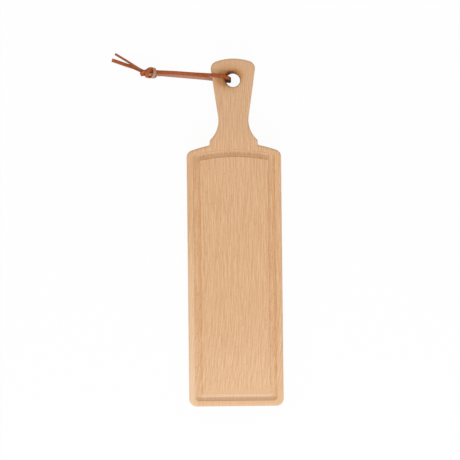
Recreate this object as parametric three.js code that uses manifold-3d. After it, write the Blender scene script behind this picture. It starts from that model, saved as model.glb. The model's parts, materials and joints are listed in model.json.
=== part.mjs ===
// Cheese board: a beech board with a flared handle and a grooved field, and a leather lace through its hole.
// Millimetres, +Z up, handle towards +Y. The board lies on its back with one strand of the lace under it.

import * as THREE from 'three';
import { mergeVertices } from 'three/addons/utils/BufferGeometryUtils.js';
import Module from 'manifold-3d';

const wasm = await Module();
wasm.setup();

// Board slab
const boardWidth = 106;
const boardThickness = 15;
const edgeRound = 2.5;

// Body outline, from the straight far end to the crown of the shoulders
const bodyLength = 295.6;
const endCornerRadius = 8;
const shoulderCornerRadius = 8;
const shoulderRadius = 141;

// Handle outline: collar on the shoulders, waisted neck, flared head
const collarWidth = 54;
const collarHeight = 1.8;
const collarFillet = 2.5;
const collarCornerRadius = 4;
const neckWidth = 33.7;
const neckRadius = 30;
const handleTaper = THREE.MathUtils.degToRad(8.3);
const gripLength = 69;
const headCornerRadius = 8.5;
const headTopRadius = 59;

// Hanging hole, measured from the handle's end
const holeDiameter = 16;
const holeRound = 1.5;
const holeFromEnd = 24;

// Groove round the field, cut by a ball-ended tool, and the rims left outside it
const grooveWidth = 8.6;
const grooveDepth = 2.4;
const grooveSideRim = 6.8;
const grooveEndRim = 6.1;
const grooveCrownRim = 7.3;
const grooveCrownRadius = 190;

// Leather lace, flat in section, and its gap to what it touches
const laceWidth = 4;
const laceThickness = 2.2;
const laceBevel = 0.5;
const laceGap = 0.3;
const turnInset = 4.8;
const turnLead = 3;

// Knot that ties both strands together, placed from the hole's centre
const knotLength = 18;
const knotWidth = 12.8;
const knotThickness = 11;
const knotEndWidth = 8;
const knotLead = 3;
const knotX = -94.6;
const knotY = 10.1;
const knotHeading = THREE.MathUtils.degToRad(176.3);

// Smoothness of the curved faces
const arcSegments = 4;
const edgeSegments = 4;
const holeSegments = 48;
const grooveSegments = 40;
const crownSegments = 12;
const knotSegments = 20;
const bulgeSegments = 8;

const { sqrt, sin, cos, atan2, PI } = Math;
const leg = (hypotenuse, side) => sqrt(hypotenuse ** 2 - side ** 2);

// Centres and angles of the outline's right half, each arc tangent to the next, with Y from the far end
const halfWidth = boardWidth / 2;
const shoulderY = bodyLength - shoulderRadius;
const shoulderCornerX = halfWidth - shoulderCornerRadius;
const shoulderCornerY = shoulderY + leg(shoulderRadius - shoulderCornerRadius, shoulderCornerX);
const shoulderStart = atan2(shoulderCornerY - shoulderY, shoulderCornerX);
const filletX = collarWidth / 2 + collarFillet;
const filletY = shoulderY + leg(shoulderRadius + collarFillet, filletX);
const shoulderEnd = atan2(filletY - shoulderY, filletX);
const collarX = collarWidth / 2 - collarCornerRadius;
const collarY = filletY + collarHeight;
const neckX = neckWidth / 2 + neckRadius;
const neckY = collarY + leg(neckRadius + collarCornerRadius, neckX - collarX);
const flareAngle = atan2(neckY - collarY, neckX - collarX);
const boardLength = neckY + gripLength;
const headTopY = boardLength - headTopRadius;

// The head's corner touches the tapered side and the arc of the handle's end
const sideX = neckX - (neckRadius + headCornerRadius) * cos(handleTaper);
const sideY = neckY + (neckRadius + headCornerRadius) * sin(handleTaper);
const alongSide = sideX * sin(handleTaper) + (sideY - headTopY) * cos(handleTaper);
const acrossSide = sideX * cos(handleTaper) - (sideY - headTopY) * sin(handleTaper);
const sideLength = leg(headTopRadius - headCornerRadius, acrossSide) - alongSide;
const headX = sideX + sideLength * sin(handleTaper);
const headY = sideY + sideLength * cos(handleTaper);
const headAngle = atan2(headY - headTopY, headX);

function boardOutline() {
  const rightArcs = [
    { x: halfWidth - endCornerRadius, y: endCornerRadius, r: endCornerRadius, from: -PI / 2, to: 0 },
    { x: shoulderCornerX, y: shoulderCornerY, r: shoulderCornerRadius, from: 0, to: shoulderStart },
    { x: 0, y: shoulderY, r: shoulderRadius, from: shoulderStart, to: shoulderEnd },
    { x: filletX, y: filletY, r: collarFillet, from: shoulderEnd + PI, to: PI, hollow: true },
    { x: collarX, y: collarY, r: collarCornerRadius, from: 0, to: flareAngle },
    { x: neckX, y: neckY, r: neckRadius, from: PI + flareAngle, to: PI - handleTaper, hollow: true },
    { x: headX, y: headY, r: headCornerRadius, from: -handleTaper, to: headAngle },
  ];
  const topArc = { x: 0, y: headTopY, r: headTopRadius, from: headAngle, to: PI - headAngle };
  const mirrored = (arc) => ({ ...arc, x: -arc.x, from: PI - arc.to, to: PI - arc.from });
  const leftArcs = rightArcs.toReversed().map(mirrored);
  const outline = new THREE.Shape();
  for (const { x, y, r, from, to, hollow = false } of [...rightArcs, topArc, ...leftArcs]) {
    outline.absarc(x, y, r, from, to, hollow);
  }
  return outline;
}

// The slab with every outer edge rounded over, its underside at height 0
function boardBlank() {
  const blank = new THREE.ExtrudeGeometry(boardOutline(), {
    depth: boardThickness - 2 * edgeRound,
    bevelThickness: edgeRound,
    bevelSize: edgeRound,
    bevelOffset: -edgeRound,
    bevelSegments: edgeSegments,
    curveSegments: arcSegments,
  });
  return blank.translate(0, 0, edgeRound);
}

// The hole with both its rims rounded over, running past both faces
const holeY = boardLength - holeFromEnd;
const boreRadius = holeDiameter / 2;
const rimRadius = boreRadius + holeRound;

function holeCutter() {
  const profile = new THREE.Path();
  profile.moveTo(0, -holeRound);
  profile.lineTo(rimRadius, -holeRound);
  profile.absarc(rimRadius, holeRound, holeRound, -PI / 2, -PI, true);
  profile.absarc(rimRadius, boardThickness - holeRound, holeRound, PI, PI / 2, true);
  profile.lineTo(rimRadius, boardThickness + holeRound);
  profile.lineTo(0, boardThickness + holeRound);
  const cutter = new THREE.LatheGeometry(profile.getPoints(edgeSegments / 2), holeSegments);
  return cutter.rotateX(PI / 2).translate(0, holeY, 0);
}

// The groove's straight runs have ball ends at the corners, and an arched run joins them at the shoulders
function grooveCutters() {
  const ball = (grooveWidth ** 2 / 4 + grooveDepth ** 2) / (2 * grooveDepth);
  const z = boardThickness - grooveDepth + ball;
  const x = halfWidth - grooveSideRim - grooveWidth / 2;
  const endY = grooveEndRim + grooveWidth / 2;
  const crownY = bodyLength - grooveCrownRim - grooveWidth / 2;
  const cornerY = crownY - grooveCrownRadius + leg(grooveCrownRadius, x);
  const run = (length) => new THREE.CapsuleGeometry(ball, length, grooveSegments / 4, grooveSegments);
  const side = () => run(cornerY - endY).translate(0, (cornerY + endY) / 2, z);
  const crown = new THREE.QuadraticBezierCurve3(
    new THREE.Vector3(-x, cornerY, z),
    new THREE.Vector3(0, 2 * crownY - cornerY, z),
    new THREE.Vector3(x, cornerY, z),
  );
  const round = new THREE.Shape().absarc(0, 0, ball, 0, 2 * PI);
  const arched = { extrudePath: crown, steps: crownSegments, curveSegments: grooveSegments / 2 };
  return [
    side().translate(-x, 0, 0),
    side().translate(x, 0, 0),
    run(2 * x).rotateZ(PI / 2).translate(0, endY, z),
    new THREE.ExtrudeGeometry(round, arched),
  ];
}

// A closed solid for cutting, with shared vertices merged and the collapsed triangles at poles left out
function toSolid(geometry) {
  const bare = geometry.clone();
  bare.deleteAttribute('normal');
  bare.deleteAttribute('uv');
  const merged = mergeVertices(bare, 1e-4);
  const corners = merged.index.array;
  const triangles = [];
  for (let i = 0; i < corners.length; i += 3) {
    const [a, b, c] = corners.subarray(i, i + 3);
    if (a !== b && b !== c && c !== a) triangles.push(a, b, c);
  }
  return new wasm.Manifold(new wasm.Mesh({
    numProp: 3,
    vertProperties: new Float32Array(merged.attributes.position.array),
    triVerts: new Uint32Array(triangles),
  }));
}

function toGeometry(solid) {
  const { vertProperties, triVerts } = solid.getMesh();
  const geometry = new THREE.BufferGeometry();
  geometry.setAttribute('position', new THREE.BufferAttribute(vertProperties, 3));
  geometry.setIndex(new THREE.BufferAttribute(triVerts, 1));
  geometry.computeVertexNormals();
  return geometry;
}

function boardGeometry() {
  const cutters = [holeCutter(), ...grooveCutters()];
  const cut = (solid, cutter) => solid.subtract(toSolid(cutter));
  return toGeometry(cutters.reduce(cut, toSolid(boardBlank())));
}

// Heights of the lace's middle: over the face, under the handle, and inside the knot that lies on the table
const overFace = boardThickness + laceGap + laceThickness / 2;
const underBoard = -laceGap - laceThickness / 2;
const tableLevel = underBoard - laceThickness / 2;
const knotZ = tableLevel + knotThickness / 2;

// A point in the knot's own directions: towards the tails, across, and up
function atKnot(along, across, up) {
  const x = knotX + along * cos(knotHeading) + across * sin(knotHeading);
  const y = knotY + along * sin(knotHeading) - across * cos(knotHeading);
  return [x, y, knotZ + up];
}

// The lace's route from the hole's centre, over the face, down through the hole and back under the handle
const turnX = turnInset - boreRadius;
const turnEnd = -rimRadius - turnLead;
const strandStart = turnEnd - laceGap;
const knotFace = knotLength / 2 + laceGap;
const routes = {
  lace_hole_turn: [
    [turnEnd, 4.3, overFace],
    [-rimRadius, 3.7, overFace],
    [turnX - 3.2, 2.8, overFace - 0.1],
    [turnX - 1.2, 1.9, overFace - 1.3],
    [turnX - 0.1, 1.4, overFace - 3.4],
    [turnX, 0.8, overFace - 6],
    [turnX, -0.2, underBoard + 6],
    [turnX - 0.1, -0.3, underBoard + 3.4],
    [turnX - 1.2, -0.2, underBoard + 1.3],
    [turnX - 3.2, 0.1, underBoard + 0.1],
    [-rimRadius, 0.5, underBoard + 0.05],
    [turnEnd, 0.9, underBoard],
  ],
  lace_front_strand: [
    [strandStart, 4.35, overFace],
    [-24, 5.4, overFace],
    [-30, 5.8, overFace],
    [-46, 7.2, overFace - 3.2],
    [-66, 9.3, overFace - 8.2],
    atKnot(-knotFace - knotLead, 1.35, 1.5),
    atKnot(-knotFace, 1.35, 1.3),
  ],
  lace_back_strand: [
    [strandStart, 0.95, underBoard],
    [-24, 2.6, underBoard],
    [-44, 4.8, underBoard],
    [-62, 6.5, underBoard + 0.2],
    [-72, 7.4, underBoard + 1.4],
    atKnot(-knotFace - knotLead, -1.35, -1.5),
    atKnot(-knotFace, -1.35, -1.3),
  ],
  lace_tail_upper: [
    atKnot(knotFace, 3.7, 0.2),
    atKnot(knotFace + knotLead, 4.1, 0),
    [-112, 18.8, 2.1],
    [-132.6, 31.9, -0.4],
  ],
  lace_tail_lower: [
    atKnot(knotFace, 2.4, -3.4),
    atKnot(knotFace + knotLead, 2.8, -3.7),
    [-112, 16.2, -1.3],
    [-136.4, 25.2, underBoard],
  ],
};
const routeSteps = {
  lace_hole_turn: 18,
  lace_front_strand: 12,
  lace_back_strand: 12,
  lace_tail_upper: 8,
  lace_tail_lower: 8,
};

// A route whose frames keep the width of the lace level, so that a bend never rolls it over
class LaceRoute extends THREE.CatmullRomCurve3 {
  computeFrenetFrames(segments) {
    const across = new THREE.Vector3(0, 1, 0);
    const steps = Array.from({ length: segments + 1 }, (_, i) => i / segments);
    const tangents = steps.map((step) => this.getTangentAt(step));
    const normals = tangents.map((tangent) => across.clone().cross(tangent).normalize());
    const binormals = tangents.map((tangent, i) => tangent.clone().cross(normals[i]));
    return { tangents, normals, binormals };
  }
}

// The lace's section, a flat strip with its corners taken off
function stripSection(height, width) {
  const [x, y] = [height / 2, width / 2];
  const corners = [[1, 1], [-1, 1], [-1, -1], [1, -1]];
  const points = corners.flatMap(([sideways, upright]) => {
    const nearSide = new THREE.Vector2(sideways * x, upright * (y - laceBevel));
    const nearEnd = new THREE.Vector2(sideways * (x - laceBevel), upright * y);
    return sideways === upright ? [nearSide, nearEnd] : [nearEnd, nearSide];
  });
  return new THREE.Shape(points);
}

function laceGeometry(name) {
  const onEdge = name === 'lace_tail_upper';
  const section = onEdge ? stripSection(laceWidth, laceThickness) : stripSection(laceThickness, laceWidth);
  const extrudePath = new LaceRoute(routes[name].map((point) => new THREE.Vector3(...point)));
  return new THREE.ExtrudeGeometry(section, { extrudePath, steps: routeSteps[name], curveSegments: 1 });
}

// The knot's outer shape: a barrel along the strands, lying a little flat
function knotGeometry() {
  const end = knotEndWidth / 2;
  const bulge = new THREE.QuadraticBezierCurve(
    new THREE.Vector2(end, -knotLength / 2),
    new THREE.Vector2(knotWidth - end, 0),
    new THREE.Vector2(end, knotLength / 2),
  );
  const axisStart = new THREE.Vector2(0, -knotLength / 2);
  const axisEnd = new THREE.Vector2(0, knotLength / 2);
  const profile = [axisStart, ...bulge.getPoints(bulgeSegments), axisEnd];
  const barrel = new THREE.LatheGeometry(profile, knotSegments);
  return barrel.scale(1, 1, knotThickness / knotWidth);
}

function leatherPiece(name, geometry) {
  const material = new THREE.MeshStandardMaterial({ color: 0x9a5434, roughness: 0.7, metalness: 0 });
  const piece = new THREE.Mesh(geometry, material);
  piece.name = name;
  return piece;
}

const beech = new THREE.MeshStandardMaterial({ color: 0xdfb48a, roughness: 0.6, metalness: 0 });
const board = new THREE.Mesh(boardGeometry(), beech);
board.name = 'board';

const lace = new THREE.Group();
lace.position.set(0, holeY, 0);
for (const name of Object.keys(routes)) {
  lace.add(leatherPiece(name, laceGeometry(name)));
}
const knot = leatherPiece('lace_knot', knotGeometry());
knot.position.set(knotX, knotY, knotZ);
knot.rotation.z = knotHeading - PI / 2;
lace.add(knot);

// The far end's edge and the strand under the handle both touch the table, so the board leans a little
const restSpan = holeY - laceWidth - edgeRound;
const lying = new THREE.Group();
lying.position.y = -edgeRound;
lying.add(board, lace);

const cheeseBoard = new THREE.Group();
const leaning = new THREE.Group();
leaning.position.y = edgeRound - boardLength / 2;
leaning.rotation.x = atan2(-tableLevel, restSpan);
leaning.add(lying);
cheeseBoard.add(leaning);

export default cheeseBoard;
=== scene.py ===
"""A beech cheese board with a grooved field, and a leather lace knotted through its handle."""

import json
from math import asin, atan2, copysign, cos, pi, radians, sin, sqrt

import bmesh
import bpy
from mathutils import Matrix, Vector

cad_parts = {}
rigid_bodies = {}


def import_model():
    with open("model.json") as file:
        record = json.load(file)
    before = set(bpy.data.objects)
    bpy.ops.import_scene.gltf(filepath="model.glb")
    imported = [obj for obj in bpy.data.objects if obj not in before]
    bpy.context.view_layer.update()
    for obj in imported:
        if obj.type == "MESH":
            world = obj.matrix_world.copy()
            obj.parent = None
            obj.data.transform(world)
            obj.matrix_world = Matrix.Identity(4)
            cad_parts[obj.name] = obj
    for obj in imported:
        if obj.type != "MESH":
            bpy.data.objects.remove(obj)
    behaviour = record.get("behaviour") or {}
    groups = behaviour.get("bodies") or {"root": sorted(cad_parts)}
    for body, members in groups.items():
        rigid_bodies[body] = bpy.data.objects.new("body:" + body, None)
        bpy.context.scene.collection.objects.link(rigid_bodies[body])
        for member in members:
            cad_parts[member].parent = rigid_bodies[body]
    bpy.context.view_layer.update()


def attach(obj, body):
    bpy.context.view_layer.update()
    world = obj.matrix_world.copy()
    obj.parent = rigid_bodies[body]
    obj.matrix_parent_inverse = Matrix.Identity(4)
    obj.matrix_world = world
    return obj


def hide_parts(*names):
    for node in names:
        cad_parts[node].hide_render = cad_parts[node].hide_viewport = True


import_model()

mm = 0.001

# Points that lie nearer than this are the same point
touching = 0.001 * mm


def leg(hypotenuse, side):
    """The other short side of a right-angled triangle."""
    return sqrt(hypotenuse**2 - side**2)


# Board slab and body outline, with Y from the far end and Z from the underside
board_width = 106 * mm
board_thickness = 15 * mm
edge_round = 2.5 * mm
body_length = 295.6 * mm
end_corner = 8 * mm
shoulder_corner = 8 * mm
shoulder_radius = 141 * mm

# Handle outline: collar on the shoulders, waisted neck, flared head
collar_width = 54 * mm
collar_height = 1.8 * mm
collar_fillet = 2.5 * mm
collar_corner = 4 * mm
neck_width = 33.7 * mm
neck_radius = 30 * mm
handle_taper = radians(8.3)
grip_length = 69 * mm
head_corner = 8.5 * mm
head_top_radius = 59 * mm

# Hanging hole, and the groove round the field with its eased edges
bore_radius = 8 * mm
hole_round = 1.5 * mm
hole_from_end = 24 * mm
groove_width = 8.6 * mm
groove_depth = 2.4 * mm
groove_ease = 0.6 * mm
groove_side_rim = 6.8 * mm
groove_end_rim = 6.1 * mm
groove_crown_rim = 7.3 * mm
groove_crown_radius = 190 * mm

# Leather lace, and how far its strand under the handle lifts the board there
lace_width = 4 * mm
lace_thickness = 2.2 * mm
strand_lift = 2.5 * mm

# Knot: its place from the hole's centre, its heading, and the stretch it wraps, in mm
knot_center = Vector((-92.7, 10.0, 3.0))
knot_heading = radians(176.3)
knot_core = -4, 6

# Centres and angles of the outline's right half, each arc tangent to the next
half_width = board_width / 2
shoulder_y = body_length - shoulder_radius
shoulder_corner_x = half_width - shoulder_corner
shoulder_corner_y = shoulder_y + leg(shoulder_radius - shoulder_corner, shoulder_corner_x)
shoulder_start = atan2(shoulder_corner_y - shoulder_y, shoulder_corner_x)
fillet_x = collar_width / 2 + collar_fillet
fillet_y = shoulder_y + leg(shoulder_radius + collar_fillet, fillet_x)
shoulder_end = atan2(fillet_y - shoulder_y, fillet_x)
collar_x = collar_width / 2 - collar_corner
collar_y = fillet_y + collar_height
neck_x = neck_width / 2 + neck_radius
neck_y = collar_y + leg(neck_radius + collar_corner, neck_x - collar_x)
flare_angle = atan2(neck_y - collar_y, neck_x - collar_x)
board_length = neck_y + grip_length
hole_y = board_length - hole_from_end

# The head's corner touches the tapered side and the arc of the handle's end
head_top_y = board_length - head_top_radius
side_x = neck_x - (neck_radius + head_corner) * cos(handle_taper)
side_y = neck_y + (neck_radius + head_corner) * sin(handle_taper)
along_side = side_x * sin(handle_taper) + (side_y - head_top_y) * cos(handle_taper)
across_side = side_x * cos(handle_taper) - (side_y - head_top_y) * sin(handle_taper)
side_length = leg(head_top_radius - head_corner, across_side) - along_side
head_x = side_x + side_length * sin(handle_taper)
head_y = side_y + side_length * cos(handle_taper)
head_angle = atan2(head_y - head_top_y, head_x)

# Middle line of the groove: its sides, its far end, and the crown's arc down to its corners
groove_x = half_width - groove_side_rim - groove_width / 2
groove_end_y = groove_end_rim + groove_width / 2
crown_center_y = body_length - groove_crown_rim - groove_width / 2 - groove_crown_radius
groove_corner_y = crown_center_y + leg(groove_crown_radius, groove_x)

# The far edge and the strand under the handle both touch the table, so the board leans a little
lean = atan2(strand_lift, hole_y - lace_width - edge_round)
at_rest = (
    Matrix.Translation((0, edge_round - board_length / 2, 0))
    @ Matrix.Rotation(lean, 4, "X")
    @ Matrix.Translation((0, -edge_round, 0))
)

# The knot's own directions: towards the tails, across and up
knot_turn = Matrix((
    (cos(knot_heading), sin(knot_heading), 0),
    (sin(knot_heading), -cos(knot_heading), 0),
    (0, 0, 1),
))


def settle(point):
    """Where a point given in mm from the hole's centre lies at rest, in metres."""
    return at_rest @ (point * mm + Vector((0, hole_y, 0)))


def set_camera():
    """Looks straight down from 1.8 m, turned a little, as the photograph does."""
    distance, face_height = 1.8, 16.3 * mm
    middle_x, middle_y, turn = -5.2 * mm, 2.7 * mm, -0.0111
    picture_width, sensor_width = 515.7 * mm, 36
    place = (middle_x, middle_y, face_height + distance)
    bpy.ops.object.camera_add(location=place, rotation=(0, 0, turn))
    camera = bpy.context.object
    camera.data.sensor_width = sensor_width
    camera.data.lens = sensor_width * distance / picture_width
    bpy.context.scene.camera = camera


def at_hole(x, y, z, facing):
    """A point of the lace's route, in mm from the hole's centre, and the way its face looks."""
    return Vector((x, y, z)), Vector(facing).normalized()


def at_knot(along, across, height, facing=None):
    """A point of the route in the knot's own directions.

    Where no facing is given, the lace is a wrap that looks away from the knot's core.
    """
    if facing is None:
        back, front = knot_core
        facing = (along - max(back, min(front, along)), across, height)
    point = knot_center + knot_turn @ Vector((along, across, height))
    return point, (knot_turn @ Vector(facing)).normalized()


# Ways that the lace's face looks: the upper tail stands on its edge, the lower one is tipped
up, down, left, right = (0, 0, 1), (0, 0, -1), (-1, 0, 0), (1, 0, 0)
on_edge, tipped = (0.5, 0.85, 0.32), (0.1, -0.3, -1)

# Each half of the lace runs from inside the hole, through the knot, to its cut end
front_route = [
    at_hole(-3.2, 0.15, 7.5, right),
    at_hole(-3.2, 0.8, 10.4, right),
    at_hole(-3.3, 1.4, 13.0, (1, 0, 0.15)),
    at_hole(-4.3, 1.7, 15.2, (0.7, 0, 0.7)),
    at_hole(-6.6, 2.6, 16.5, (0.2, 0, 1)),
    at_hole(-9.5, 3.6, 16.5, up),
    at_hole(-12.5, 4.3, 16.4, up),
    at_hole(-24, 5.4, 16.4, up),
    at_hole(-30, 5.8, 16.3, up),
    at_hole(-46, 7.2, 13.2, up),
    at_hole(-66, 9.3, 8.2, up),
    at_knot(-10.8, 1.2, 1.6, up),
    at_knot(-7.8, 1.2, 1.4, up),
    at_knot(-4.5, 1.4, 1.4, up),
    at_knot(-1.0, 1.8, 1.7, up),
    at_knot(1.6, 2.1, 2.1, (-0.2, 0.2, 1)),
    at_knot(4.2, 1.6, 2.7, (0, 0.3, 1)),
    at_knot(7.0, 0.2, 3.1),
    at_knot(9.3, -1.3, 2.4),
    at_knot(10.5, -2.2, 0.8),
    at_knot(10.4, -2.4, -1.4),
    at_knot(8.5, -1.6, -3.1),
    at_knot(6.0, 0.6, -4.1),
    at_knot(3.4, 3.2, -3.7),
    at_knot(0.8, 4.9, -1.7),
    at_knot(-0.4, 5.3, 0.8),
    at_knot(0.3, 4.1, 3.7),
    at_knot(2.2, 1.2, 5.2),
    at_knot(3.9, -1.7, 4.6),
    at_knot(4.1, -3.9, 2.4),
    at_knot(2.6, -5.0, -0.7),
    at_knot(0.2, -4.1, -3.3),
    at_knot(-1.8, -1.5, -4.3),
    at_knot(-2.0, 0.6, -3.2, down),
    at_knot(-0.5, 1.8, -1.9, down),
    at_knot(2.2, 2.1, -1.0, down),
    at_knot(5.0, 1.9, -0.4, (0, 0.7, -0.7)),
    at_knot(8.0, 1.9, 0.2, (0, 1, 0.1)),
    at_hole(-104.9, 14.3, 2.4, on_edge),
    at_hole(-111.6, 18.5, 2.0, on_edge),
    at_hole(-120.6, 24.4, 0.6, on_edge),
    at_hole(-132.6, 31.9, -0.4, on_edge),
]
back_route = [
    at_hole(-3.2, 0.15, 7.5, left),
    at_hole(-3.2, -0.2, 4.6, left),
    at_hole(-3.3, -0.3, 2.0, (-1, 0, 0.15)),
    at_hole(-4.3, -0.2, -0.2, (-0.7, 0, 0.7)),
    at_hole(-6.6, 0.1, -1.3, (-0.2, 0, 1)),
    at_hole(-9.5, 0.5, -1.35, up),
    at_hole(-12.5, 0.9, -1.35, up),
    at_hole(-24, 2.6, -1.35, (0, -0.05, 1)),
    at_hole(-30, 3.4, -1.1, (0, -0.25, 1)),
    at_hole(-44, 4.8, -0.9, (0, -0.35, 1)),
    at_hole(-62, 6.5, -0.8, (0, -0.3, 1)),
    at_hole(-72, 7.4, 0.0, (0, -0.2, 1)),
    at_knot(-10.8, -1.2, -0.7, up),
    at_knot(-7.8, -1.5, 0.2, up),
    at_knot(-5.0, -1.8, 1.0, up),
    at_knot(-2.0, -1.9, 1.6, up),
    at_knot(1.4, -2.0, 2.4),
    at_knot(4.0, -2.3, 1.3),
    at_knot(5.5, -2.9, -0.5),
    at_knot(5.2, -3.0, -2.6),
    at_knot(3.6, -1.7, -4.2),
    at_knot(1.6, 0.9, -4.3),
    at_knot(-0.5, 3.4, -3.6),
    at_knot(-2.0, 4.7, -1.2),
    at_knot(-2.9, 4.7, 1.4),
    at_knot(-4.3, 3.1, 3.8),
    at_knot(-4.9, 0.2, 4.7),
    at_knot(-4.1, -2.9, 4.1),
    at_knot(-2.7, -5.0, 1.5),
    at_knot(-3.2, -4.9, -1.3),
    at_knot(-4.9, -2.9, -3.3),
    at_knot(-4.6, -1.2, -2.8, down),
    at_knot(-2.4, -1.5, -1.3, down),
    at_knot(0.5, -1.5, -1.2, down),
    at_knot(4.0, -1.0, -1.5, down),
    at_knot(7.5, 0.4, -1.9, down),
    at_hole(-104.9, 13.3, -0.6, (0, -0.1, -1)),
    at_hole(-111.7, 16.4, -1.0, tipped),
    at_hole(-120.7, 19.5, -1.0, tipped),
    at_hole(-136.4, 25.2, -1.0, tipped),
]


def smooth_route(route, spacing=0.5):
    """Points and facings on a smooth curve through the route, about spacing mm apart."""
    points, facings = [point for point, _ in route], [facing for _, facing in route]
    before_first, past_last = 2 * points[0] - points[1], 2 * points[-1] - points[-2]
    points = [before_first, *points, past_last]
    facings = [facings[0], *facings, facings[-1]]
    stations = []
    for i in range(1, len(points) - 2):
        p0, p1, p2, p3 = points[i - 1 : i + 3]
        # Timed by the root of each distance, so that the curve makes no loops at tight bends
        t0 = 0
        t1 = t0 + sqrt((p1 - p0).length)
        t2 = t1 + sqrt((p2 - p1).length)
        t3 = t2 + sqrt((p3 - p2).length)
        steps = max(2, round((p2 - p1).length / spacing))
        is_last = i == len(points) - 3
        for step in range(steps + is_last):
            share = step / steps
            t = t1 + (t2 - t1) * share
            a1 = ((t1 - t) * p0 + (t - t0) * p1) / (t1 - t0)
            a2 = ((t2 - t) * p1 + (t - t1) * p2) / (t2 - t1)
            a3 = ((t3 - t) * p2 + (t - t2) * p3) / (t3 - t2)
            b1 = ((t2 - t) * a1 + (t - t0) * a2) / (t2 - t0)
            b2 = ((t3 - t) * a2 + (t - t1) * a3) / (t3 - t1)
            point = ((t2 - t) * b1 + (t - t1) * b2) / (t2 - t1)
            ease = share * share * (3 - 2 * share)
            stations.append((point, facings[i].lerp(facings[i + 1], ease)))
    return stations


def lace_outline(corners, squareness):
    """A rounded rectangle, from -1 to 1 across the lace and from -1 to 1 through it."""
    outline = []
    for k in range(corners):
        angle = 2 * pi * k / corners
        x = copysign(abs(cos(angle)) ** (2 / squareness), cos(angle))
        y = copysign(abs(sin(angle)) ** (2 / squareness), sin(angle))
        outline.append((x, y))
    return outline


def tube_faces(rows, around):
    """The faces of a tube of rows of points, with a cap on each end."""
    faces = []
    for i in range(rows - 1):
        row, next_row = i * around, (i + 1) * around
        for k in range(around):
            j = (k + 1) % around
            faces.append((row + k, row + j, next_row + j, next_row + k))
    faces.append(tuple(reversed(range(around))))
    faces.append(tuple(range((rows - 1) * around, rows * around)))
    return faces


def lace_half(name, route, grain_out):
    """One half of the lace, from inside the hole through the knot to its cut end.

    Its grain side faces out along the route, or in. Gives the piece, its path and its length.
    """
    outline = lace_outline(corners=28, squareness=3.6)
    half_width_mm, half_thickness_mm = lace_width / mm / 2, lace_thickness / mm / 2
    stations = smooth_route(route)
    vertices, side, along = [], [], []
    run = 0
    for i, (point, facing) in enumerate(stations):
        before, after = stations[max(0, i - 1)][0], stations[min(len(stations) - 1, i + 1)][0]
        run += (point - before).length
        heading = (after - before).normalized()
        outward = (facing - facing.dot(heading) * heading).normalized()
        across = heading.cross(outward)
        for x, y in outline:
            offset = across * x * half_width_mm + outward * y * half_thickness_mm
            vertices.append(settle(point + offset))
            side.append(y if grain_out else -y)
            along.append((x * half_width_mm, run))
    mesh = bpy.data.meshes.new(name)
    mesh.from_pydata(vertices, [], tube_faces(len(stations), len(outline)))
    mesh.attributes.new("side", "FLOAT", "POINT").data.foreach_set("value", side)
    uv = mesh.uv_layers.new(name="along")
    for loop in mesh.loops:
        uv.data[loop.index].uv = along[loop.vertex_index]
    piece = bpy.data.objects.new(name, mesh)
    bpy.context.collection.objects.link(piece)
    bpy.ops.object.select_all(action="DESELECT")
    piece.select_set(True)
    bpy.context.view_layer.objects.active = piece
    bpy.ops.object.mode_set(mode="EDIT")
    bpy.ops.mesh.select_all(action="SELECT")
    bpy.ops.mesh.normals_make_consistent(inside=False)
    bpy.ops.object.mode_set(mode="OBJECT")
    bpy.ops.object.shade_smooth_by_angle(angle=radians(60))
    path = [settle(point) for point, _ in stations]
    length = sum((b - a).length for a, b in zip(path, path[1:]))
    return piece, path, length


class Pen:
    """Draws an outline in the open mesh, point by point, in metres."""

    def __init__(self, *start):
        bpy.ops.mesh.select_all(action="DESELECT")
        bpy.ops.mesh.primitive_plane_add(size=mm, location=start)
        bpy.ops.mesh.merge(type="CENTER")
        self.at = Vector(start)

    def line(self, *to):
        """Goes straight to a point."""
        bpy.ops.mesh.extrude_region_move(TRANSFORM_OT_translate={"value": Vector(to) - self.at})
        self.at = Vector(to)

    def arc(self, center, angle, steps, axis=(0, 0, 1)):
        """Goes round a centre. The spin tool counts its angle the other way round."""
        center = Vector(center)
        bpy.ops.mesh.spin(steps=steps, angle=-angle, center=center, axis=axis)
        self.at = center + Matrix.Rotation(angle, 3, axis) @ (self.at - center)


def new_piece(name):
    """An empty mesh object at the origin, open for editing."""
    bpy.ops.object.select_all(action="DESELECT")
    bpy.ops.mesh.primitive_plane_add(size=mm)
    piece = bpy.context.object
    piece.name = piece.data.name = name
    bpy.ops.object.mode_set(mode="EDIT")
    bpy.ops.mesh.select_mode(type="VERT")
    bpy.ops.mesh.select_all(action="SELECT")
    bpy.ops.mesh.delete(type="VERT")
    return piece


def select(kind, test):
    """Selects the open mesh's edges or faces that pass the test, and no others."""
    bpy.ops.mesh.select_mode(type=kind)
    bpy.ops.mesh.select_all(action="DESELECT")
    open_mesh = bmesh.from_edit_mesh(bpy.context.object.data)
    for part in open_mesh.edges if kind == "EDGE" else open_mesh.faces:
        if test(part):
            part.select_set(True)
    bmesh.update_edit_mesh(bpy.context.object.data)


def level(part, height):
    """Whether an edge or face lies flat at the height."""
    return all(abs(v.co.z - height) < touching for v in part.verts)


def apply_modifier(piece, kind, **settings):
    """Adds a modifier with the settings to the active piece, and applies it."""
    modifier = piece.modifiers.new(kind.title(), kind)
    for key, value in settings.items():
        setattr(modifier, key, value)
    bpy.ops.object.modifier_apply(modifier=modifier.name)


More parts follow.
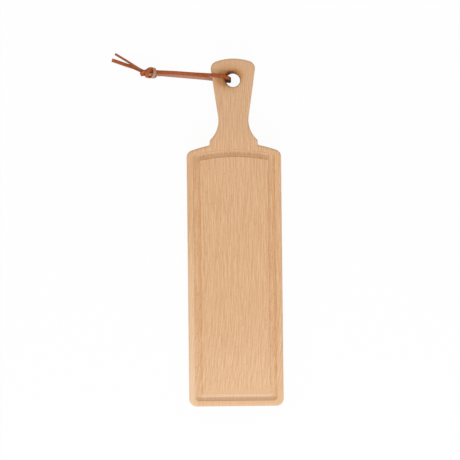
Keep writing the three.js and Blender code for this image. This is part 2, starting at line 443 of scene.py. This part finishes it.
def draw_board_outline():
    """The outline's right half on the underside, from the far end's middle to the handle's top."""
    pen = Pen(0, 0, 0)
    pen.line(half_width - end_corner, 0, 0)
    pen.arc((half_width - end_corner, end_corner, 0), pi / 2, steps=14)
    pen.line(half_width, shoulder_corner_y, 0)
    pen.arc((shoulder_corner_x, shoulder_corner_y, 0), shoulder_start, steps=12)
    pen.arc((0, shoulder_y, 0), shoulder_end - shoulder_start, steps=6)
    pen.arc((fillet_x, fillet_y, 0), -shoulder_end, steps=10)
    pen.line(collar_width / 2, collar_y, 0)
    pen.arc((collar_x, collar_y, 0), flare_angle, steps=8)
    pen.arc((neck_x, neck_y, 0), -flare_angle - handle_taper, steps=16)
    flare_x = head_x + head_corner * cos(handle_taper)
    flare_y = head_y - head_corner * sin(handle_taper)
    pen.line(flare_x, flare_y, 0)
    pen.arc((head_x, head_y, 0), head_angle + handle_taper, steps=12)
    pen.arc((0, head_top_y, 0), pi / 2 - head_angle, steps=10)


def draw_groove_outline(reach):
    """The groove's outer edge on the face, reach away from its middle line, with round corners."""
    z = board_thickness
    swing = asin(groove_x / groove_crown_radius)
    pen = Pen(-groove_x, groove_end_y - reach, z)
    pen.line(groove_x, groove_end_y - reach, z)
    pen.arc((groove_x, groove_end_y, z), pi / 2, steps=10)
    pen.line(groove_x + reach, groove_corner_y, z)
    pen.arc((groove_x, groove_corner_y, z), pi / 2 - swing, steps=10)
    pen.arc((0, crown_center_y, z), 2 * swing, steps=14)
    pen.arc((-groove_x, groove_corner_y, z), pi / 2 - swing, steps=10)
    pen.line(-groove_x - reach, groove_end_y, z)
    pen.arc((-groove_x, groove_end_y, z), pi / 2, steps=10)


def groove_profile(ease_steps=4, hollow_steps=8):
    """(distance from the middle line, height) down one side: an eased edge, then a hollow."""
    ball = (groove_width**2 / 4 + groove_depth**2) / (2 * groove_depth)
    ball_height = ball - groove_depth
    ease_x = leg(ball + groove_ease, ball_height + groove_ease)
    steepest = asin(ease_x / (ball + groove_ease))
    eased = [steepest * i / ease_steps for i in range(ease_steps + 1)]
    hollow = [steepest * (1 - i / hollow_steps) for i in range(1, hollow_steps + 1)]
    return [(ease_x - groove_ease * sin(a), groove_ease * (cos(a) - 1)) for a in eased] + [
        (ball * sin(a), ball_height - ball * cos(a)) for a in hollow
    ]


def hollow_share(place):
    """How deep a point lies in the groove, as a share of the groove's depth."""
    from_crown = Vector((place.x, place.y - crown_center_y)).length
    inside = (
        abs(place.x) < half_width - groove_side_rim + groove_ease
        and place.y > groove_end_rim - groove_ease
        and from_crown < groove_crown_radius + groove_width / 2 + groove_ease
        and place.z > board_thickness / 2
    )
    return (board_thickness - place.z) / groove_depth if inside else 0


def raise_slab():
    """Raises the drawn outline to a slab with rounded edges, and opens its two flat faces."""
    bpy.ops.mesh.select_all(action="SELECT")
    bpy.ops.mesh.edge_face_add()
    bpy.ops.mesh.extrude_region_move(TRANSFORM_OT_translate={"value": (0, 0, board_thickness)})
    select("EDGE", lambda e: level(e, 0) or level(e, board_thickness))
    bpy.ops.mesh.bevel(
        offset=edge_round, offset_type="OFFSET", segments=8, affect="EDGES", clamp_overlap=False
    )
    # The flat faces are the only ones with so many corners
    select("FACE", lambda f: len(f.verts) > 50)
    bpy.ops.mesh.delete(type="ONLY_FACE")
    bpy.ops.mesh.select_mode(type="VERT")


def join_linked():
    """Joins the points that lie together in what was drawn last."""
    bpy.ops.mesh.select_linked()
    bpy.ops.mesh.remove_doubles(threshold=touching)


def turn_hole():
    """The wall of the hole with its rounded rims, drawn once and turned round the hole's middle."""
    rim = bore_radius + hole_round
    pen = Pen(rim, hole_y, board_thickness)
    pen.arc((rim, hole_y, board_thickness - hole_round), -pi / 2, steps=6, axis=(0, 1, 0))
    pen.line(bore_radius, hole_y, hole_round)
    pen.arc((rim, hole_y, hole_round), -pi / 2, steps=6, axis=(0, 1, 0))
    bpy.ops.mesh.select_linked()
    bpy.ops.mesh.spin(steps=72, angle=2 * pi, center=(0, hole_y, 0), axis=(0, 0, 1))
    join_linked()


def select_open_edges(height):
    """Selects the edges at the height that still lack a face."""
    select("EDGE", lambda e: level(e, height) and len(e.link_faces) < 2)


def fill_flats():
    """Fills both flat faces round the hole and the groove, and then the field inside the groove."""
    for height in (0, board_thickness):
        select_open_edges(height)
        bpy.ops.mesh.fill(use_beauty=True)
    select_open_edges(board_thickness)
    bpy.ops.mesh.edge_face_add()
    bpy.ops.mesh.select_all(action="SELECT")
    bpy.ops.mesh.normals_make_consistent(inside=False)


def select_field():
    """Selects the field, the only face over 0.01 square metres that looks up."""
    large, upward = 0.01, 0.9
    select("FACE", lambda f: f.calc_area() > large and f.normal.z > upward)


def sink_groove(profile):
    """Insets the field in steps, down to the groove's middle line and up to the field again."""
    middle_seam = 0.4 * mm
    select_field()
    for (x0, z0), (x1, z1) in zip(profile, profile[1:]):
        bpy.ops.mesh.inset(thickness=x0 - x1, depth=z1 - z0)
    bpy.ops.mesh.remove_doubles(threshold=middle_seam)
    select_field()
    for (x0, z0), (x1, z1) in zip(profile[::-1], profile[-2::-1]):
        bpy.ops.mesh.inset(thickness=x1 - x0, depth=z1 - z0)


def model_board():
    """The board in one piece, with the depth of its groove kept for the finish."""
    piece = new_piece("beech_board")
    draw_board_outline()
    bpy.ops.object.mode_set(mode="OBJECT")
    apply_modifier(piece, "MIRROR", use_clip=True, merge_threshold=touching)
    bpy.ops.object.mode_set(mode="EDIT")
    raise_slab()
    turn_hole()
    profile = groove_profile()
    draw_groove_outline(profile[0][0])
    join_linked()
    fill_flats()
    sink_groove(profile)
    # Flat faces keep their own normals, and the rounded edges blend into them
    select("FACE", lambda f: level(f, 0) or level(f, board_thickness))
    bpy.ops.mesh.mod_weighted_strength(set=True, face_strength="STRONG")
    bpy.ops.object.mode_set(mode="OBJECT")
    bpy.ops.object.shade_smooth_by_angle(angle=radians(40))
    apply_modifier(piece, "WEIGHTED_NORMAL", use_face_influence=True, keep_sharp=True)
    hollow = [hollow_share(v.co) for v in piece.data.vertices]
    piece.data.attributes.new("hollow", "FLOAT", "POINT").data.foreach_set("value", hollow)
    piece.matrix_world = at_rest
    bpy.ops.object.transform_apply(location=True, rotation=True, scale=True)
    return piece


def node(tree, kind, settings, *values, **named):
    """A shader node with its settings, and its sockets in order or by name, set or linked."""
    made = tree.nodes.new("ShaderNode" + kind)
    for key, value in settings.items():
        setattr(made, key, value)
    sockets = list(zip(made.inputs, values))
    sockets += [(made.inputs[key.replace("_", " ")], value) for key, value in named.items()]
    for socket, value in sockets:
        if isinstance(value, bpy.types.NodeSocket):
            tree.links.new(value, socket)
        else:
            socket.default_value = value
    return made


def calc(tree, operation, *values):
    """The result of one maths node."""
    return node(tree, "Math", {"operation": operation}, *values).outputs[0]


def times(tree, *values):
    """The product of all the values."""
    product = values[0]
    for value in values[1:]:
        product = calc(tree, "MULTIPLY", product, value)
    return product


def outside(tree, share):
    """What a share from 0 to 1 leaves of the whole."""
    return calc(tree, "SUBTRACT", 1.0, share)


def rise(tree, value, start, end):
    """0 at the start, 1 at the end and past it, and smooth between, whichever is the larger."""
    settings = {"interpolation_type": "SMOOTHSTEP"}
    return node(tree, "MapRange", settings, value, From_Min=start, From_Max=end).outputs[0]


def stretch(tree, vector, scale):
    """The vector times a scale of its own in each direction."""
    return node(tree, "VectorMath", {"operation": "MULTIPLY"}, vector, scale).outputs[0]


def make_unevenness():
    """The node group for the soft unevenness that wood and leather share."""
    group = bpy.data.node_groups.new("soft_unevenness", "ShaderNodeTree")
    inputs = {"Place": "Vector", "Scale": "Vector", "Detail": "Float", "Roughness": "Float"}
    for name, kind in inputs.items():
        group.interface.new_socket(name, in_out="INPUT", socket_type="NodeSocket" + kind)
    group.interface.new_socket("Amount", in_out="OUTPUT", socket_type="NodeSocketFloat")
    place, scale, detail, roughness, _ = group.nodes.new("NodeGroupInput").outputs
    stretched = stretch(group, place, scale)
    cloud = node(group, "TexNoise", {}, stretched, Scale=1.0, Detail=detail, Roughness=roughness)
    amount = group.nodes.new("NodeGroupOutput").inputs["Amount"]
    group.links.new(cloud.outputs["Fac"], amount)
    return group


def clouds(tree, vector, scale, detail=2.0, roughness=0.5):
    """Soft unevenness from 0 to 1, with its own scale along each direction."""
    settings = {"node_tree": unevenness}
    return node(tree, "Group", settings, vector, scale, detail, roughness).outputs["Amount"]


def blend(tree, share, a, b, way="MIX"):
    """Colour a, turned into colour b or mixed with it in another way, as far as the share goes."""
    made = tree.nodes.new("ShaderNodeMix")
    made.data_type, made.blend_type = "RGBA", way
    for index, value in ((0, share), (6, a), (7, b)):
        if isinstance(value, bpy.types.NodeSocket):
            tree.links.new(value, made.inputs[index])
        else:
            made.inputs[index].default_value = value
    return made.outputs[2]


def tint(tree, share, colour, red, green, blue):
    """The colour times a factor for red, green and blue, as far as the share goes."""
    return blend(tree, share, colour, (red, green, blue, 1), "MULTIPLY")


def screen_colour(red, green, blue):
    """A colour as it reads on a screen, in the linear values that nodes take."""
    def linear(c):
        return c / 12.92 if c <= 0.04045 else ((c + 0.055) / 1.055) ** 2.4
    return (*(linear(c / 255) for c in (red, green, blue)), 1)


def new_material(name):
    """A material with its node tree and its shader."""
    material = bpy.data.materials.new(name)
    material.use_nodes = True
    tree = material.node_tree
    return material, tree, tree.nodes["Principled BSDF"]


def finish_shader(tree, shader, colour, rough, relief, relief_strength, gloss):
    """Links the colour, the roughness and a relief of 0.2 mm at most, and sets the gloss."""
    tree.links.new(colour, shader.inputs["Base Color"])
    tree.links.new(rough, shader.inputs["Roughness"])
    shader.inputs["Specular IOR Level"].default_value = gloss
    bump = node(tree, "Bump", {}, Height=relief, Strength=relief_strength, Distance=0.2 * mm)
    tree.links.new(bump.outputs[0], shader.inputs["Normal"])


def spot_in_mm(tree):
    """Where a point of the piece lies, in mm."""
    place = node(tree, "TexCoord", {}).outputs["Object"]
    return node(tree, "VectorMath", {"operation": "SCALE"}, place, Scale=1000.0).outputs[0]


def split(tree, vector):
    """The X, Y and Z outputs of a vector."""
    return node(tree, "SeparateXYZ", {}, vector).outputs


def grain_place(tree, spot):
    """The spot as the grain has it, which wavers and leans over towards the far end."""
    x, y, z = split(tree, spot)
    lean_start, lean_growth, waver_width = -20, 0.0004, 3
    past_start = calc(tree, "MINIMUM", calc(tree, "SUBTRACT", y, lean_start), 0)
    lean_over = times(tree, past_start, past_start, lean_growth)
    waver = times(tree, clouds(tree, spot, (0.03, 0.009, 0.03), 1.0), waver_width)
    across = calc(tree, "ADD", calc(tree, "ADD", x, lean_over), waver)
    return node(tree, "CombineXYZ", {}, across, y, z).outputs[0]


def ray_flecks(tree, grain, size, thick):
    """Short dark dashes where the wood's rays are cut, each of its own strength.

    Each lies in a cell of the given size in mm, and fills the share thick of it.
    """
    cell_place = stretch(tree, grain, [1 / length for length in size])
    cells = node(tree, "TexVoronoi", {"feature": "F1"}, cell_place, Scale=1.0)
    strength = node(tree, "SeparateColor", {}, cells.outputs["Color"]).outputs[0]
    dash = outside(tree, rise(tree, cells.outputs["Distance"], 0.4 * thick, thick))
    return times(tree, dash, rise(tree, strength, 0.1, 0.9))


def plain_beech(tree, grain):
    """The colour of the clean wood, with the fibres and flecks that also shape its surface."""
    bundle_scale, bundle_gap = (0.95, 0.045, 0.4), (1.3, 0, 0)
    beside = node(tree, "VectorMath", {"operation": "ADD"}, grain, bundle_gap).outputs[0]
    bundle, next_bundle = (clouds(tree, place, bundle_scale, 1.0) for place in (grain, beside))
    streaks = calc(tree, "SUBTRACT", bundle, times(tree, next_bundle, 0.5))
    fibres = clouds(tree, grain, (2.6, 0.1, 1.6), 2.0, 0.6)
    years = clouds(tree, grain, (0.16, 0.007, 0.05), 2.0, 0.5)
    patches = clouds(tree, grain, (0.035, 0.012, 0.035), 2.0)
    flecks = ray_flecks(tree, grain, (1.5, 7, 9), 0.3)
    fine_flecks = ray_flecks(tree, grain, (0.8, 3.6, 5), 0.3)

    pale, tan = screen_colour(237, 197, 156), screen_colour(208, 160, 116)
    brown, dark = screen_colour(196, 142, 94), screen_colour(164, 110, 66)
    rosy = screen_colour(229, 180, 144)
    colour = blend(tree, rise(tree, streaks, -0.2, 0.68), tan, pale)
    for marks, strength, tone in (
        (rise(tree, years, 0.4, 0.8), 0.05, brown),
        (rise(tree, fibres, 0.4, 0.8), 0.4, brown),
        (flecks, 0.36, dark),
        (fine_flecks, 0.45, dark),
        (rise(tree, patches, 0.35, 0.7), 0.1, rosy),
    ):
        colour = blend(tree, times(tree, marks, strength), colour, tone)
    return colour, fibres, flecks


# Where the marks below begin and end is given in mm from the board's middle


def mark_ends(tree, colour, y, facing):
    """Sanding has blurred the streaks at both ends, and end grain is darker for the oil it took."""
    sanded = calc(tree, "MAXIMUM", rise(tree, y, -174, -181), rise(tree, y, 168, 184))
    colour = blend(tree, times(tree, sanded, 0.55), colour, screen_colour(221, 177, 135))
    endways = calc(tree, "ABSOLUTE", facing["Y"])
    end_grain = times(tree, rise(tree, endways, 0.55, 0.95), 0.7)
    colour = blend(tree, end_grain, colour, screen_colour(212, 172, 136), "MULTIPLY")
    end_face = rise(tree, endways, 0.88, 0.98)
    return tint(tree, end_face, colour, 0.88, 1.03, 1.16)


def mark_groove(tree, colour, spot, facing, grain):
    """Painted shade on the groove's crown, walls and far edges, a painted highlight on its far
    wall, and torn fibres.
    """
    x, y, _ = split(tree, spot)
    hollow = node(tree, "Attribute", {"attribute_name": "hollow"}).outputs["Fac"]
    wall = rise(tree, hollow, 0.02, 0.2)
    at_crown, at_end = rise(tree, y, 65, 80), rise(tree, y, -178, -181)

    # Painted shade darkens the hollow of the groove's crown
    uneven = rise(tree, clouds(tree, spot, (0.3, 0.02, 0.3), 2.0), 0.35, 0.65)
    painted_crown_shade = times(tree, rise(tree, hollow, 0.3, 0.9), uneven, at_crown)
    colour = tint(tree, painted_crown_shade, colour, 0.9, 0.92, 0.92)
    # Painted shade darkens the groove walls that face left
    painted_shade_facing_left = times(tree, wall, rise(tree, facing["X"], 0.0, -0.35))
    colour = tint(tree, painted_shade_facing_left, colour, 0.965, 0.93, 0.86)
    # Painted shade darkens, a little, the groove walls that face right
    painted_shade_facing_right = times(tree, wall, rise(tree, facing["X"], 0.1, 0.4))
    colour = tint(tree, painted_shade_facing_right, colour, 0.96, 0.965, 0.955)
    # Painted shade darkens the crown's wall that faces the far end
    painted_crown_wall_shade = times(tree, wall, at_crown, rise(tree, facing["Y"], -0.1, -0.4))
    colour = tint(tree, painted_crown_wall_shade, colour, 0.92, 0.94, 0.96)

    torn = times(tree, ray_flecks(tree, grain, (1.3, 9, 6), 0.35), rise(tree, hollow, 0.1, 0.4))
    torn = times(tree, torn, outside(tree, at_end), 0.5)
    colour = blend(tree, torn, colour, screen_colour(186, 122, 66))

    # A painted highlight pales the far groove's inner wall, which faces the lamp
    inner_half = rise(tree, y, -186.1, -184.8)
    between_corners = rise(tree, calc(tree, "ABSOLUTE", x), 42, 38)
    painted_end_wall_highlight = times(tree, rise(tree, hollow, 0.5, 1.0), inner_half, between_corners, at_end)
    colour = tint(tree, painted_end_wall_highlight, colour, 1.05, 1.19, 1.4)
    # Painted shade darkens the groove's edges that face the far end, away from the crown
    painted_end_lip_shade = times(tree, rise(tree, hollow, 0.0, 0.05), rise(tree, facing["Y"], -0.25, -0.65))
    painted_end_lip_shade = times(tree, painted_end_lip_shade, outside(tree, at_crown))
    return tint(tree, painted_end_lip_shade, colour, 0.91, 0.95, 0.96)


def paint_shade_and_sheen(tree, colour, spot, facing):
    """The left rim is paler in its lower half, with painted sheen at the far end and painted shade
    on the far edge and the handle.
    """
    x, y, _ = split(tree, spot)
    # Painted shade darkens the far end's rounded edge
    painted_far_edge_shade = times(tree, rise(tree, y, -188, -191), rise(tree, facing["Y"], -0.1, -0.6))
    colour = tint(tree, painted_far_edge_shade, colour, 0.9, 0.9, 0.9)
    # The left rim is paler in its lower half
    pale_left_rim = times(tree, rise(tree, x, -42, -50), rise(tree, y, 20, -60), 0.42)
    colour = blend(tree, pale_left_rim, colour, screen_colour(238, 206, 171))
    # A painted sheen pales the wood towards the far end, nearest the lamp
    painted_far_end_sheen = rise(tree, y, -70, -190)
    colour = tint(tree, painted_far_end_sheen, colour, 1.055, 1.1, 1.17)
    # Painted shade darkens the handle, farthest from the lamp
    handle = rise(tree, y, 90, 130)
    return tint(tree, handle, colour, 0.945, 0.957, 0.98)


def hole_stain_and_shade(tree, spot, shift, reach, fade):
    """1 within reach mm of a place near the hole's centre, and fading out past that."""
    center = settle(Vector((*shift, board_thickness / mm))) / mm
    away = node(tree, "VectorMath", {"operation": "SUBTRACT"}, spot, (*center.xy, 0)).outputs[0]
    flat = stretch(tree, away, (1, 1, 0))
    distance = node(tree, "VectorMath", {"operation": "LENGTH"}, flat).outputs["Value"]
    uneven = calc(tree, "SUBTRACT", clouds(tree, spot, (0.5, 0.18, 0.5), 3.0), 0.5)
    edge = calc(tree, "ADD", distance, times(tree, uneven, fade))
    past = calc(tree, "DIVIDE", calc(tree, "SUBTRACT", reach, edge), fade)
    return calc(tree, "MINIMUM", calc(tree, "EXPONENT", past), 1)


def stain_and_shade_hole(tree, colour, spot):
    """Lace and hooks have stained the wood amber beside and above the hole, which beside it also
    paints the lace's shadow; the bore and the dark rim are painted shade.
    """
    # Amber stain, which also paints the lace's soft shadow beside the hole
    beside = hole_stain_and_shade(tree, spot, shift=(-7.9, 1.9), reach=8.2, fade=3.7)
    above = hole_stain_and_shade(tree, spot, shift=(2.6, 4.2), reach=6.4, fade=2.3)
    # Painted shade darkens the bore
    painted_bore_shade = hole_stain_and_shade(tree, spot, shift=(0, 0), reach=bore_radius / mm + 0.4, fade=0.3)
    painted_bore_shade = times(tree, painted_bore_shade, 0.6)
    # Painted shade darkens the rim on the hole's upper left
    rim = hole_stain_and_shade(tree, spot, shift=(-1.9, 1.5), reach=7.6, fade=1.2)
    colour = tint(tree, calc(tree, "MAXIMUM", beside, painted_bore_shade), colour, 0.7, 0.52, 0.35)
    colour = tint(tree, above, colour, 0.81, 0.6, 0.37)
    return tint(tree, rim, colour, 0.28, 0.18, 0.15)


def beech_material():
    """Oiled beech, with the marks of its making and of use, and painted shade and sheen."""
    material, tree, shader = new_material("oiled_beech")
    spot = spot_in_mm(tree)
    facing = split(tree, node(tree, "TexCoord", {}).outputs["Normal"])
    grain = grain_place(tree, spot)
    colour, fibres, flecks = plain_beech(tree, grain)
    colour = mark_ends(tree, colour, split(tree, spot)["Y"], facing)
    colour = mark_groove(tree, colour, spot, facing, grain)
    colour = paint_shade_and_sheen(tree, colour, spot, facing)
    colour = stain_and_shade_hole(tree, colour, spot)
    rough = calc(tree, "ADD", times(tree, fibres, 0.2), 0.42)
    relief = calc(tree, "SUBTRACT", times(tree, fibres, 0.6), flecks)
    finish_shader(tree, shader, colour, rough, relief, relief_strength=0.12, gloss=0.15)
    return material


def mottled(tree, cloud, dark, pale):
    """From a dark to a pale screen colour, as the cloud goes from low to high."""
    return blend(tree, rise(tree, cloud, 0.3, 0.7), screen_colour(*dark), screen_colour(*pale))


def leather_material():
    """Tan leather with a smooth grain side, a napped flesh side and cut edges."""
    material, tree, shader = new_material("tan_lace_leather")
    spot = spot_in_mm(tree)
    side = node(tree, "Attribute", {"attribute_name": "side"}).outputs["Fac"]
    run = node(tree, "UVMap", {"uv_map": "along"}).outputs[0]
    across, along, _ = split(tree, run)
    pores = node(tree, "TexVoronoi", {"feature": "F1"}, spot, Scale=2.6).outputs["Distance"]
    mottle = clouds(tree, spot, (0.35, 0.35, 0.35), 4.0, 0.6)
    nap = clouds(tree, spot, (5, 5, 5), 4.0, 0.7)
    drag = clouds(tree, run, (2.4, 0.12, 1), 3.0)
    grain_side = rise(tree, side, 0.7, 0.95)
    flesh_side = rise(tree, side, -0.7, -0.95)
    grain = mottled(tree, mottle, (148, 69, 28), (178, 86, 39))
    dragged = times(tree, rise(tree, drag, 0.5, 0.8), 0.4)
    grain = blend(tree, dragged, grain, screen_colour(130, 58, 26))
    flesh = mottled(tree, nap, (170, 114, 92), (204, 152, 130))
    cut = mottled(tree, nap, (134, 72, 42), (174, 106, 68))

    # The lace is paler past the handle, and palest past the knot
    smooth = blend(tree, grain_side, cut, grain)
    past_handle, past_knot = rise(tree, along, 30.0, 60.0), rise(tree, along, 85.0, 110.0)
    smooth = tint(tree, past_handle, smooth, 1.1, 1.28, 1.42)
    smooth = tint(tree, past_knot, smooth, 1.08, 1.1, 1.08)
    colour = blend(tree, flesh_side, smooth, flesh)

    # Painted shade darkens both rounded margins, and the turn in the hole
    painted_margin_shade = times(tree, rise(tree, calc(tree, "ABSOLUTE", across), 1.2, 2.0), 0.55)
    colour = blend(tree, painted_margin_shade, colour, screen_colour(196, 176, 160), "MULTIPLY")
    painted_hole_turn_shade = rise(tree, along, 12.0, 3.0)
    colour = blend(tree, painted_hole_turn_shade, colour, screen_colour(150, 128, 112), "MULTIPLY")

    rough = calc(tree, "SUBTRACT", 0.85, times(tree, grain_side, 0.3))
    relief = calc(tree, "ADD", times(tree, pores, 0.5), times(tree, nap, 0.7))
    finish_shader(tree, shader, colour, rough, relief, relief_strength=0.35, gloss=0.2)
    return material


def seen_white(tree):
    """1 for the rays that see the background, straight on, in a gloss or through glass."""
    rays = node(tree, "LightPath", {})
    seen = calc(tree, "MAXIMUM", rays.outputs["Is Camera Ray"], rays.outputs["Is Glossy Ray"])
    return calc(tree, "MAXIMUM", seen, rays.outputs["Is Transmission Ray"])


def soft_lamp(share, size, place):
    """A square lamp, aimed at the board's middle, that gives it a share of all its light."""
    bpy.ops.object.light_add(type="AREA", location=place)
    lamp = bpy.context.object
    lamp.data.size = size
    # The board gets energy * height / (pi * distance**3), and pi * share from an even sky
    distance, height = lamp.location.length, lamp.location.z
    lamp.data.energy = share * pi**2 * distance**3 / height
    lamp.rotation_euler = (-lamp.location).to_track_quat("-Z", "Y").to_euler()


def set_studio():
    """Even white light, one small lamp low past the far end, and a pale table that glows white."""
    white, even_light, lamp_light = (1, 1, 1, 1), 0.84, 0.16
    lamp_size, lamp_place = 0.15, (0.06, -1.455, 0.664)
    table_size, table_tone, table_glow = 8, (0.88, 0.88, 0.88, 1), 0.95

    scene = bpy.context.scene
    scene.view_settings.view_transform = "Standard"
    scene.world = scene.world or bpy.data.worlds.new("studio")
    scene.world.use_nodes = True
    tree = scene.world.node_tree
    tree.nodes.clear()
    fill = node(tree, "Background", {}, Color=white, Strength=even_light)
    backdrop = node(tree, "Background", {}, Color=white, Strength=1.0)
    sky = node(tree, "MixShader", {}, seen_white(tree), fill.outputs[0], backdrop.outputs[0])
    node(tree, "OutputWorld", {}, sky.outputs[0])
    soft_lamp(lamp_light, lamp_size, lamp_place)

    bpy.ops.mesh.primitive_plane_add(size=table_size)
    floor = bpy.context.object
    floor.name = "pale_floor"
    material, tree, shader = new_material("pale_table")
    shader.inputs["Base Color"].default_value = table_tone
    shader.inputs["Roughness"].default_value = 0.9
    glow = node(tree, "Emission", {}, Color=white, Strength=1.0)
    share = times(tree, seen_white(tree), table_glow)
    surface = node(tree, "MixShader", {}, share, shader.outputs[0], glow.outputs[0])
    tree.links.new(surface.outputs[0], tree.nodes["Material Output"].inputs["Surface"])
    floor.data.materials.append(material)


set_camera()

unevenness = make_unevenness()
leather = leather_material()
lace_nodes = {
    "lace_front": ["lace_front_strand", "lace_hole_turn", "lace_tail_upper", "lace_knot"],
    "lace_back": ["lace_back_strand", "lace_tail_lower"],
}
for name, route, grain_out in (("lace_front", front_route, True), ("lace_back", back_route, False)):
    piece, path, length = lace_half(name, route, grain_out)
    piece.data.materials.append(leather)
    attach(piece, "lace")
    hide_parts(*lace_nodes[name])

board = model_board()
board.data.materials.append(beech_material())
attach(board, "board")
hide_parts("board")

set_studio()
